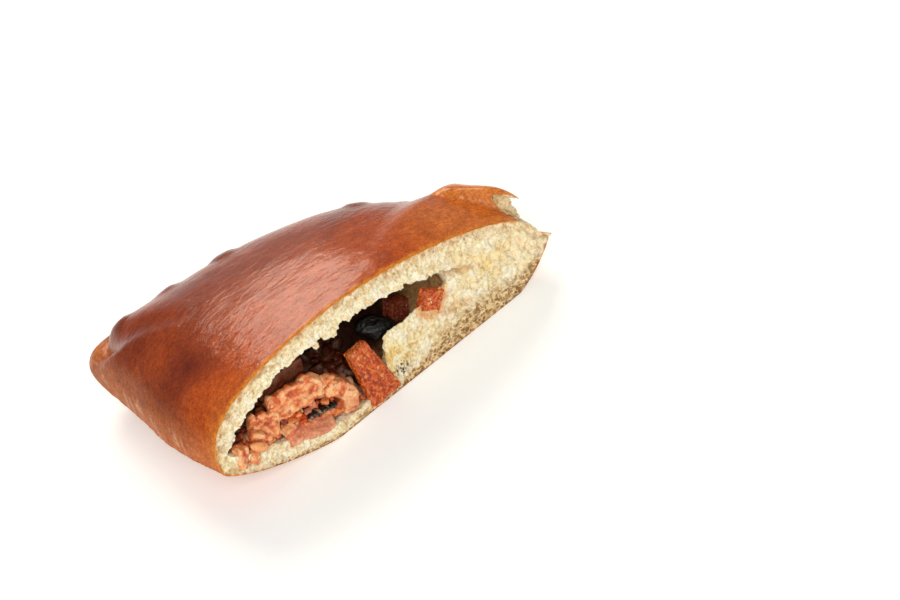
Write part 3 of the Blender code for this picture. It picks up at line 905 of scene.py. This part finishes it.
def meat_finish(name, rough, coat):
    """Moist meat: the painted tone under fine grain, with a wet sheen."""
    made, tree, shader = new_finish(name)
    tone, _ = painted(tree, "tone")
    spot = put(tree, "TexCoord").outputs["Object"]
    fine = grains(tree, spot, 1500, 4, 0.6)
    soft = grains(tree, spot, 420, 3)
    grain = ramp(tree, fine, [(0.3, (0.78, 0.68, 0.62)), (0.68, (1.14, 1.16, 1.18))])
    veil = ramp(tree, soft, [(0.34, (0.86, 0.74, 0.68)), (0.66, (1.08, 1.12, 1.16))])
    dents = relief(tree, soft, 0.5, 0.0008, relief(tree, fine, 0.6, 0.0003))
    look = {
        "Base Color": multiplied(tree, tone, grain, veil),
        "Roughness": rough,
        "Coat Weight": coat,
        "Coat Roughness": 0.16,
        "Specular IOR Level": 0.3,
        "Subsurface Weight": 0.25,
        "Subsurface Radius": (1.0, 0.3, 0.15),
        "Subsurface Scale": 0.0012,
        "Normal": dents,
        "Coat Normal": dents,
    }
    feed(tree, shader, look)
    return made


ham_finish = meat_finish("moist_ham", 0.44, 0.25)


def tint(shape, tone_at):
    """Paints each corner with tone_at(place in mm, the tone it has)."""
    layers = shape.verts.layers.float_color
    layer = layers.get("tone") or layers.new("tone")
    for vert in shape.verts:
        vert[layer] = (*tone_at(vert.co / MM, vert[layer][:3]), 1)


def push_out(shape, depth_at):
    """Moves the surface along its normals by depth_at(place), both in mm."""
    shape.normal_update()
    moves = [vert.normal * depth_at(vert.co / MM) * MM for vert in shape.verts]
    for vert, move in zip(shape.verts, moves):
        vert.co += move


def roughen(shape, slow, fast, seed):
    """Uneven faces: slow and fast waves of the surface, in mm."""

    def wave(place):
        place = place + Vector((seed, 2 * seed, 3 * seed))
        quick = noise.noise(place / 0.95) + 0.5 * noise.noise(place / 0.45)
        return slow * noise.noise(place / 3.1) + fast * quick

    push_out(shape, wave)


def smooth_path(points, steps):
    """Points evenly spread on a curve that runs smoothly through the given ones."""
    ends = [2 * points[0] - points[1], *points, 2 * points[-1] - points[-2]]
    spans = len(points) - 1
    found = []
    for step in range(steps + 1):
        place = spans * step / steps
        low = min(int(place), spans - 1)
        t = place - low
        a, b, c, d = ends[low : low + 4]
        bend = (2 * a - 5 * b + 4 * c - d) * t * t + (3 * b - a - 3 * c + d) * t**3
        found.append((2 * b + (c - a) * t + bend) / 2)
    return found


def ham_tone(along, across, place, pink):
    """Fibres along the slice, pale fat in flecks, redder where the sauce soaked in."""
    fibre = noise.noise(Vector((along * 3, across * 3.5, 1.5)) + place / 6)
    patch = noise.noise(place / 2.6)
    fleck = noise.noise(place / 0.7)
    tone = mixed(HAM_MID, HAM_PALE, 0.85 * ease(-0.15, 0.45, fibre + 0.6 * patch))
    tone = mixed(tone, HAM_DEEP, 0.85 * ease(0.05, 0.5, -fibre - 0.6 * patch))
    tone = mixed(tone, HAM_RED, 0.65 * patches(place / 1.5, 0.2, 0.55))
    tone = mixed(tone, HAM_FAT, 0.55 * ease(0.25, 0.55, fleck))
    return mixed(tone, HAM_PINK, pink)


def flat_section(sides, width, thickness, spare=4000):
    """A slice's section, flat with crisp corners: points evenly spread round it, -1 to 1."""
    fine = []
    for step in range(spare + 1):
        angle = 2 * math.pi * step / spare
        wide, deep = pressed(math.cos(angle), 0.32), pressed(math.sin(angle), 0.42)
        fine.append(Vector((wide * width, deep * thickness)))
    return [(point.x / width, point.y / thickness) for point in evenly(fine, sides)]


def slice_of(path, across, width, thickness, pink=0.0, steps=90, sides=72, seed=1.0):
    """A slice drawn along a smooth path: a flat section with crisp corners, closed at its ends."""
    route = smooth_path([Vector(point) * MM for point in path], steps)
    section = flat_section(sides, width, thickness)
    rings = []
    for index, centre in enumerate(route):
        ahead = route[min(index + 1, steps)] - route[max(index - 1, 0)]
        normal = ahead.cross(Vector(across)).normalized()
        flat = normal.cross(ahead).normalized()
        taper = max(0.0, 1 - abs(2 * index / steps - 1) ** 18) ** 0.5
        ragged = 1 + 0.20 * noise.noise(Vector((index / 11, seed, 0)))
        shift = 0.12 * noise.noise(Vector((index / 13, 7.7, seed)))
        ring = []
        for wide, deep in section:
            wide = wide * ragged + shift
            fibres = noise.noise(Vector((index / 22, wide * 3.5 * width / 8, seed + 3)))
            deep *= 1 + 0.16 * fibres / max(1.0, thickness / 3)
            offset = flat * wide * width / 2 + normal * deep * thickness / 2
            ring.append(centre + offset * MM * taper)
        rings.append(ring)
    shape = sheet_of(sides, steps, lambda column, row: rings[row][column % sides])
    layer = shape.verts.layers.float_color.new("tone")
    for vert in shape.verts:
        row, column = divmod(vert.index, sides + 1)
        wide = section[column % sides][0]
        place = vert.co / MM + Vector((seed * 5, 0, 0))
        vert[layer] = (*ham_tone(row / steps, wide * width / 8, place, pink), 1)
    close_ends(shape)
    roughen(shape, 0.24, 0.10, seed)
    return shape


for count, (name, recipe) in enumerate(HAM_SLICES.items()):
    shape = slice_of(*recipe, pink=0.55 if name == "ham_low" else 0.0, seed=1.0 + count)
    # The slice at the back, deep in the pocket, is darkened almost to black red: painted shade.
    if name == "ham_behind":
        tint(shape, lambda place, tone: mixed(tone, srgb(84, 24, 12), 0.88))
    settle(as_object("slice_" + name, shape, ham_finish), "ham", name)

# The long slice's turned-over end, whose cut edge catches the light.
shape = slice_of(
    ((-26.8, 3.6, 24.6), (-24.9, 2.7, 21.6), (-26.4, 2.6, 17.4)), (0.5, 0.8, 0), 3.2, 1.6, seed=9.0
)
# The turned-over end is painted paler: a painted highlight for the light on its cut edge.
tint(shape, lambda place, tone: mixed(tone, HAM_PALE, 0.5))
settle(as_object("slice_fold", shape, ham_finish), "ham")

# Smaller ham, corners and ends of slices: place, size, turn about X, Y and Z, and rounding.
HAM_CHUNKS = {
    "ham_corner": ((-57.4, 2.3, 17.6), (3.6, 4.2, 7.0), (0, 20, 8), 0.6),
    "ham_end": ((-54.0, 1.9, 14.8), (3.8, 3.6, 3.2), (10, 30, 0), 0.6),
    "ham_chip": ((-22.8, 3.0, 20.2), (4.6, 3.2, 3.0), (15, 25, 10), 0.5),
    "ham_bit": ((-40.2, 2.0, 14.2), (4.2, 3.0, 3.0), (20, 10, 0), 0.5),
    "ham_knot": ((-25.6, 4.4, 9.6), (4.6, 4.8, 4.2), (0, 10, 0), 0.7),
}


def lay(shape, verts, turned, centre):
    """Turns corners about X, Y and Z, in degrees, and moves them to a place in mm."""
    turn = Euler([math.radians(angle) for angle in turned]).to_matrix().to_4x4()
    bmesh.ops.transform(shape, matrix=turn, verts=verts)
    bmesh.ops.translate(shape, vec=Vector(centre) * MM, verts=verts)


def block(centre, size, turned, rounding, cuts=18, taper=(1, 1)):
    """A cut block with softened edges and many small faces, turned about X, Y and Z."""
    shape = bmesh.new()
    bmesh.ops.create_cube(shape, size=1)
    bmesh.ops.scale(shape, vec=Vector(size) * MM, verts=shape.verts)
    bmesh.ops.bevel(
        shape,
        geom=list(shape.edges),
        offset=rounding * MM,
        segments=2,
        profile=0.5,
        affect="EDGES",
        clamp_overlap=True,
        material=-1,
    )
    long_edges = [edge for edge in shape.edges if edge.calc_length() > 1.2 * rounding * MM]
    bmesh.ops.subdivide_edges(shape, edges=long_edges, cuts=cuts, use_grid_fill=True)
    for vert in shape.verts:
        vert.co.x *= blend(*taper, vert.co.z / MM / size[2] + 0.5)
    lay(shape, shape.verts, turned, centre)
    return shape


for count, (name, recipe) in enumerate(HAM_CHUNKS.items()):
    shape = block(*recipe)
    tint(shape, lambda place, _: ham_tone(place.x / 7, place.z / 9, place, 0.0))
    roughen(shape, 0.8, 0.22, 11.0 + count)
    settle(as_object("piece_" + name, shape, ham_finish), "ham", name)


def pebble(centre, size, turned, around=40, rows=28):
    """A rounded piece: a sphere drawn out and turned."""
    shape = bmesh.new()
    bmesh.ops.create_uvsphere(shape, u_segments=around, v_segments=rows, radius=0.5)
    bmesh.ops.scale(shape, vec=Vector(size) * MM, verts=shape.verts)
    lay(shape, shape.verts, turned, centre)
    return shape


shape = pebble((-51.0, 1.5, 16.8), (7.0, 3.0, 3.2), (0, 42, 0))
tint(shape, lambda *_: mixed(HAM_PALE, srgb(244, 160, 90), 0.6))
roughen(shape, 0.3, 0.1, 21.0)
settle(as_object("piece_ham_lens", shape, ham_finish), "ham", "ham_lens")

# --- Mushroom ---
# A thin slice of stewed brown mushroom with a dark skin, lying edge up between the ham.

shape = slice_of(
    ((-32.6, 2.7, 13.4), (-27.6, 2.5, 12.3), (-22.6, 2.6, 10.7)), (0, 1, 0), 4.0, 1.5, seed=31.0
)


def gill_tone(place, _):
    """Dark flesh with paler gills."""
    vein = noise.noise(Vector((place.x / 0.6, place.y / 3, place.z / 0.5)))
    tone = mixed(srgb(44, 34, 26), srgb(168, 140, 104), ease(0.15, 0.5, vein))
    return mixed(tone, srgb(20, 16, 12), ease(0.0, 0.4, -vein))


tint(shape, gill_tone)
mushroom_finish = meat_finish("stewed_mushroom", 0.4, 0.2)
settle(as_object("mushroom", shape, mushroom_finish), "mushroom", "mushroom_slice")

# --- Sausage ---
# Cubes of coarse red sausage: grains of lean meat and paprika with flecks of pale fat, the cut
# faces pitted where the fat has run out in the oven.

SAUSAGE = {
    "sausage_block": ((-7.9, 2.6, 11.6), (9.6, 3.9, 19.4), (-19, -5, 0), 0.5, (1.18, 0.76)),
    "sausage_cube": ((19.2, 1.8, 20.9), (7.9, 3.6, 6.9), (0, 35, 0), 0.5, (1, 1)),
    "sausage_behind": ((12.4, 12.4, 16.4), (7.0, 5.2, 7.4), (0, 20, 0), 0.5, (1, 1)),
}
LEAN = srgb(222, 90, 30)
LEAN_DARK = srgb(154, 44, 12)
PAPRIKA = srgb(240, 128, 46)
FAT = srgb(250, 190, 116)
sausage_finish = meat_finish("coarse_sausage", 0.40, 0.42)


def sausage_tone(place):
    """One tone for each grain of the sausage at a place in mm."""
    distances, points = noise.voronoi(place / 0.75)
    pick = (noise.cell(points[0] * 17.3) + 1) / 2
    grain = mixed(LEAN, PAPRIKA, pick)
    if pick < 0.25:
        grain = mixed(grain, LEAN_DARK, 0.7)
    gap = ease(0.20, 0.03, distances[1] - distances[0])
    grain = mixed(grain, LEAN_DARK, 0.75 * gap)
    lard = ease(0.40, 0.28, noise.voronoi(place / 1.5 + Vector((3, 3, 3)))[0][0])
    lard *= patches(place / 2.4, 0.0, 0.25)
    return mixed(grain, FAT, 0.75 * lard)


def grainy(shape, depth, seed):
    """Pits and grains on a cut face, moved in along the normals by up to the depth in mm."""

    def pitted(place):
        place = place + Vector((seed, 0, seed))
        near = noise.voronoi(place / 0.75)[0]
        hole = ease(0.25, 0.0, near[1] - near[0]) + 0.8 * pore(place, 2.1, 0.38)
        return 0.16 * noise.noise(place / 2.2) - depth * hole

    push_out(shape, pitted)


for count, (name, recipe) in enumerate(SAUSAGE.items()):
    shape = block(*recipe[:4], cuts=40, taper=recipe[4])
    tint(shape, lambda place, _: sausage_tone(place + Vector((count, 0, count))))
    # The cube at the back, deep in the pocket, is darkened almost to black red: painted shade.
    if name == "sausage_behind":
        tint(shape, lambda place, tone: mixed(tone, srgb(70, 12, 6), 0.8))
    # The block's upper part is painted more orange: painted light on its top.
    elif name == "sausage_block":
        tint(shape, lambda place, tone: mixed(tone, PAPRIKA, 0.15 * ease(9, 20, place.z)))
    grainy(shape, 0.42, float(count))
    settle(as_object("piece_" + name, shape, sausage_finish), "sausage", name)

# --- Olive ---
# A stoned black olive, oily and a little shrunken, lying on the lip of bread.

shape = pebble((1.6, 8.0, 19.6), (13.6, 7.8, 7.4), (0, 23, -32), 90, 60)


def wrinkle(place):
    return noise.noise(Vector((place.x / 2.4, place.y / 1.4, place.z / 1.1)))


def olive_tone(place, _):
    return mixed(srgb(4, 4, 3), srgb(14, 12, 9), ease(0.0, 0.5, wrinkle(place)))


tint(shape, olive_tone)
push_out(shape, lambda place: 0.5 * wrinkle(place) + 0.25 * noise.noise(place / 0.8))
olive_finish = meat_finish("black_olive", 0.46, 0.08)
settle(as_object("olive_half", shape, olive_finish), "olive", "olive")

# --- Lump of dough ---
# A torn lump of the crumb that came away with the knife and lies by the bottom crust.

shape = pebble((-25.0, 1.0, 3.6), (6.6, 3.8, 3.4), (0, 14, 0), 56, 36)


def torn_lumps(place):
    return 0.7 * noise.noise(place / 1.9) + 0.3 * noise.noise(place / 0.8)


def lump_tone(place, _):
    return mixed(srgb(246, 236, 204), srgb(232, 204, 140), ease(0, 0.5, torn_lumps(place)))


tint(shape, lump_tone)
push_out(shape, lambda place: torn_lumps(place) - 0.5 * pore(place, 1.5))
settle(as_object("lump_of_crumb", shape, crumb), "crumb", "dough_lump")

# --- Chopped filling ---
# The rest of the filling: finely chopped ham, sausage and mushroom in a little sauce. It fills
# the foot of the pocket behind the larger pieces and thins out towards the rim.

HEAP = ((-0.0565, -0.0050), (0.0125, 0.0440))
dice = random.Random(5)


def heap_line(x):
    """Height in mm of the chopped filling along the cut, highest in the folded half."""
    return blend(blend(15.0, 21.0, ease(-58, -40, x)), 7.0, ease(-30, -8, x))


def heap_core(columns=90, rows=60):
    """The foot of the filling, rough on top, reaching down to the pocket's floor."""

    def place(column, row):
        y = blend(*HEAP[1], row / rows)
        angle = 2 * math.pi * column / columns
        across = -math.cos(angle)
        left = POCKET_CENTRE_X - pocket_half_width(POCKET_FOLD_X, y) + 0.003
        x = blend(left, HEAP[0][1], (across + 1) / 2)
        low, high = pocket_span(x, y)
        rough = 1.5 * noise.noise(Vector((x, y, 0)) / MM / 2.6)
        top = min((heap_line(x / MM) + rough - 2.5) * MM, high - 0.001)
        round_off = max(0.0, math.sin(angle)) ** 0.5
        height = blend(low + 0.0008, max(top, low + 0.001), round_off)
        return Vector((x, y, height))

    return close_ends(sheet_of(columns, rows, place))


def sauce_tone(place, _):
    return mixed(srgb(92, 38, 22), srgb(168, 84, 50), patches(place / 1.6, -0.3, 0.5))


shape = heap_core()
tint(shape, sauce_tone)
roughen(shape, 0.5, 0.3, 41.0)
filling_finish = meat_finish("chopped_filling", 0.46, 0.15)
settle(as_object("filling_core", shape, filling_finish), "filling", "filling_heap")

BIT_TONES = (HAM_MID, HAM_DEEP, HAM_PALE, HAM_PINK, LEAN, HAM_MID, srgb(204, 104, 60))
# The loose bits: how many, their places along x and y, sizes in mm, their painted shade deeper in
# the pocket and seed.
BITS = {
    "mouth": (90, ((-56, -14), (2.6, 5.0)), (1.0, 3.0), 0.0, 6),
    "front": (150, ((-57, -13), (5.0, 13)), (1.8, 4.4), 0.75, 7),
    "back": (170, ((-52, -3), (11, 40)), (2.0, 5.0), 0.92, 8),
}

shape = bmesh.new()
bmesh.ops.create_cube(shape, size=1)
bmesh.ops.subdivide_edges(shape, edges=list(shape.edges), cuts=2, use_grid_fill=True)
one_bit = bpy.data.meshes.new("one_bit")
shape.to_mesh(one_bit)
shape.free()


def chopped(number, ranges, sizes, depth_shade, seed):
    """Loose bits: small cubes, stretched, turned and dropped where the heap's line allows."""
    dice.seed(seed)
    noise.seed_set(seed)
    shape = bmesh.new()
    layer = shape.verts.layers.float_color.new("tone")
    for _ in range(number):
        x = dice.uniform(*ranges[0])
        y = dice.uniform(*ranges[1])
        low, high = pocket_span(x * MM, y * MM)
        top = min(heap_line(x) - 5 * ease(6, 3, y), high / MM - 1.5)
        z = blend(low / MM + 1.2, max(top, low / MM + 1.3), dice.random() ** 0.6)
        spans = [dice.uniform(*sizes) for _ in range(3)]
        spans[dice.randrange(3)] *= 0.45
        turned = [dice.uniform(0, 360) for _ in range(3)]
        shape.from_mesh(one_bit)
        made = shape.verts[:][-len(one_bit.vertices) :]
        bmesh.ops.scale(shape, vec=Vector(spans) * MM, verts=made)
        lay(shape, made, turned, (x, y, z))
        # Bits further back are darkened: painted shade deeper in the pocket.
        tone = mixed(dice.choice(BIT_TONES), srgb(48, 18, 10), depth_shade * ease(3, 12, y))
        for vert in made:
            place = vert.co / MM
            ripple = noise.noise_vector(place / 1.4)
            vert.co += ripple * 0.45 * MM
            vert[layer] = (*mixed(tone, HAM_RED, 0.4 * ease(0, 0.5, ripple.x)), 1)
    return shape


for name, recipe in BITS.items():
    settle(as_object("chopped_bits_" + name, chopped(*recipe), filling_finish), "filling")
bpy.data.meshes.remove(one_bit)

# --- Table, light and camera ---
# A pale table under soft studio light; the camera looks down on the cut and leans with it.

paper, tree, shader = new_finish("pale_table")
grain = grains(tree, put(tree, "TexCoord").outputs["Object"], 900, 2)
paper_look = {
    "Base Color": ramp(tree, grain, [(0.3, (0.90, 0.89, 0.875)), (0.7, (0.93, 0.92, 0.905))]),
    "Roughness": 0.6,
    "Emission Color": (0.86, 0.97, 1.0, 1),
    "Emission Strength": 0.28,
}
feed(tree, shader, paper_look)
shape = bmesh.new()
bmesh.ops.create_grid(shape, x_segments=4, y_segments=4, size=1.5)
table = as_object("table", shape, paper)

world = bpy.data.worlds.new("studio")
world.use_nodes = True
sky = {"Color": (1.0, 0.985, 0.965, 1), "Strength": 0.28}
feed(world.node_tree, world.node_tree.nodes["Background"], sky)
bpy.context.scene.world = world


def softbox(name, place, aim, size, power, roll=0.0, colour=(1, 1, 1)):
    """A rectangular softbox at a place, aimed at a point and rolled about its own axis."""
    lamp = bpy.data.lights.new(name, "AREA")
    lamp.shape = "RECTANGLE"
    lamp.size, lamp.size_y = size
    lamp.energy = power
    lamp.color = colour
    made = bpy.data.objects.new(name, lamp)
    made.location = place
    made.rotation_mode = "QUATERNION"
    facing = (Vector(aim) - Vector(place)).to_track_quat("-Z", "Y")
    made.rotation_quaternion = facing @ Quaternion((0, 0, 1), roll)
    bpy.context.scene.collection.objects.link(made)


KEY = (1.0, 0.88, 0.76)
softbox("key", (0.242, 0.575, 0.748), (-0.01, -0.03, 0.044), (0.391, 0.574), 5.3, -0.625, KEY)
softbox("front", (-0.32, -0.60, 0.58), (0, 0, 0.02), (0.5, 0.4), 4.6, 0.0, (1, 0.98, 0.95))
softbox("rear_card", (0.277, 0.721, 0.061), (-0.01, -0.03, 0.044), (0.471, 0.551), 0.28, -0.37)

CAMERA_TURN = (48.3122, 13.5284, -41.7349)
CAMERA_PLACE = Vector((-0.22321, -0.43008, 0.43777))
lens = bpy.data.cameras.new("camera")
lens.lens = 85
lens.sensor_width = 36
lens.clip_start = 0.01
camera = bpy.data.objects.new("camera", lens)
camera.rotation_euler = Euler([math.radians(turn) for turn in CAMERA_TURN])
camera.location = TO_FRAME @ CAMERA_PLACE
bpy.context.scene.collection.objects.link(camera)
bpy.context.scene.camera = camera
bpy.context.scene.view_settings.view_transform = "Standard"
